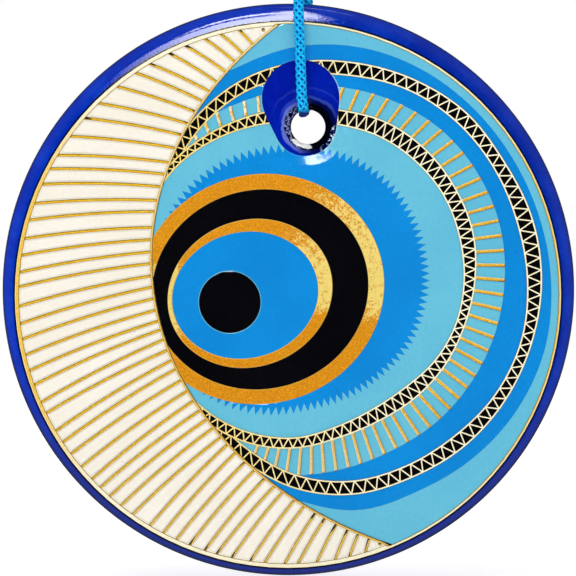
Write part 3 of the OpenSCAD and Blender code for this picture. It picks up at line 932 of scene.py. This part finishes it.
def make_world():
    """White to look at and dimmer as a light. In reflections it is dark in front of the disc and
    soft grey to the sides, as in a studio with a dark flag round the camera."""
    world = bpy.data.worlds.new("studio")
    bpy.context.scene.world = world
    world.use_nodes = True
    tree = world.node_tree
    place = tree.nodes.new("ShaderNodeTexCoord")
    toward = tree.nodes.new("ShaderNodeVectorMath")
    toward.operation = "DOT_PRODUCT"
    tree.links.new(place.outputs["Generated"], toward.inputs[0])
    toward.inputs[1].default_value = FORWARD
    flag = tree.nodes.new("ShaderNodeMapRange")
    flag.interpolation_type = "SMOOTHSTEP"
    tree.links.new(toward.outputs["Value"], flag.inputs["Value"])
    flag.inputs["From Min"].default_value = math.cos(FLAG_OUTER)
    flag.inputs["From Max"].default_value = math.cos(FLAG_INNER)
    flag.inputs["To Min"].default_value = WORLD_GLOSSY
    flag.inputs["To Max"].default_value = FLAG_GLOSSY
    path = tree.nodes.new("ShaderNodeLightPath")

    def pick(ray, otherwise, level):
        mix = tree.nodes.new("ShaderNodeMix")
        mix.data_type = "FLOAT"
        tree.links.new(path.outputs[ray], mix.inputs["Factor"])
        for value, name in ((otherwise, "A"), (level, "B")):
            if isinstance(value, float):
                mix.inputs[name].default_value = value
            else:
                tree.links.new(value, mix.inputs[name])
        return mix.outputs[0]

    level = pick("Is Diffuse Ray", 1.0, WORLD_DIFFUSE)
    level = pick("Is Glossy Ray", level, flag.outputs["Result"])
    background = tree.nodes["Background"]
    background.inputs["Color"].default_value = (1, 1, 1, 1)
    tree.links.new(level, background.inputs["Strength"])
    # The levels above hold for rays that reach the world, so it isn't sampled as a lamp.
    world.cycles.sampling_method = "NONE"


def from_disc(polar, azimuth):
    """A direction, in degrees: polar is the angle from -Y, azimuth is from +Z towards +X."""
    p, a = math.radians(polar), math.radians(azimuth)
    return Vector((math.sin(p) * math.sin(a), -math.cos(p), math.sin(p) * math.cos(a)))


def soft_light(name, polar, azimuth, width, height, power):
    """An area light that looks at the disc and doesn't show in reflections."""
    direction = from_disc(polar, azimuth)
    data = bpy.data.lights.new(name, "AREA")
    data.shape = "RECTANGLE"
    data.size = width
    data.size_y = height
    data.energy = power
    light = bpy.data.objects.new(name, data)
    light.location = DISC_AT + direction * LIGHT_DISTANCE
    light.rotation_mode = "QUATERNION"
    light.rotation_quaternion = direction.to_track_quat("Z", "Y")
    light.visible_glossy = False
    light.visible_camera = False
    bpy.context.scene.collection.objects.link(light)


def reflector(name, outline, strength, fade=None):
    """A glowing card that only shows in reflections. The outline lists azimuth, inner and outer
    polar angle, as for the lights; fade gives two azimuths between which it grows to full strength."""
    s = Shader(name)
    cloth = s.math("ADD", s.times(s.noise(0.03, 3), 0.5), 0.75)
    glow = s.times(cloth, strength)
    if fade:
        azimuth = s.math("ARCTAN2", s.offset(0, DISC_AT), s.offset(2, DISC_AT))
        glow = s.times(glow, s.ramp(azimuth, math.radians(fade[0]), math.radians(fade[1])))
    s.set("Base Color", (0.0, 0.0, 0.0, 1.0))
    s.set("Emission Color", (0.88, 0.9, 1.0, 1.0))
    s.set("Emission Strength", glow)
    s.material.cycles.emission_sampling = "NONE"
    azimuths, inner, outer = zip(*outline)
    steps = np.arange(azimuths[0], azimuths[-1] + 0.5, 1.0)
    verts = []
    for azimuth in steps:
        for edge in (inner, outer):
            direction = from_disc(np.interp(azimuth, azimuths, edge), azimuth)
            verts.append(DISC_AT + direction * REFLECTOR_DISTANCE)
    faces = [(2 * i, 2 * i + 1, 2 * i + 3, 2 * i + 2) for i in range(len(steps) - 1)]
    card = piece(name, verts, faces, [s.material], shaded_smooth=False)
    card.visible_camera = False
    card.visible_diffuse = False
    card.visible_transmission = False
    card.visible_shadow = False


MAIN_OUTLINE = [
    (-48, 14, 20), (-38, 14, 31), (-24, 14, 31), (-20, 14, 29), (-3, 14, 29),
    (-1, 14, 44), (3, 17, 44), (6, 24, 34), (7, 28, 29),
]

make_floor()
make_world()
reflector("card_main", MAIN_OUTLINE, 10, (-45, -8))
reflector("card_line", [(-22, 33, 34), (-14, 33.5, 38), (-2, 34, 38)], 13)
reflector("card_far", [(-2, 64, 65), (4, 62, 66), (13, 58, 59)], 3)
soft_light("key_soft", 38, -20, 0.6, 0.6, 2.6)
soft_light("right_soft", 50, 80, 0.5, 0.6, 0.5)

view = bpy.context.scene.view_settings
view.view_transform = "Standard"
view.look = "None"
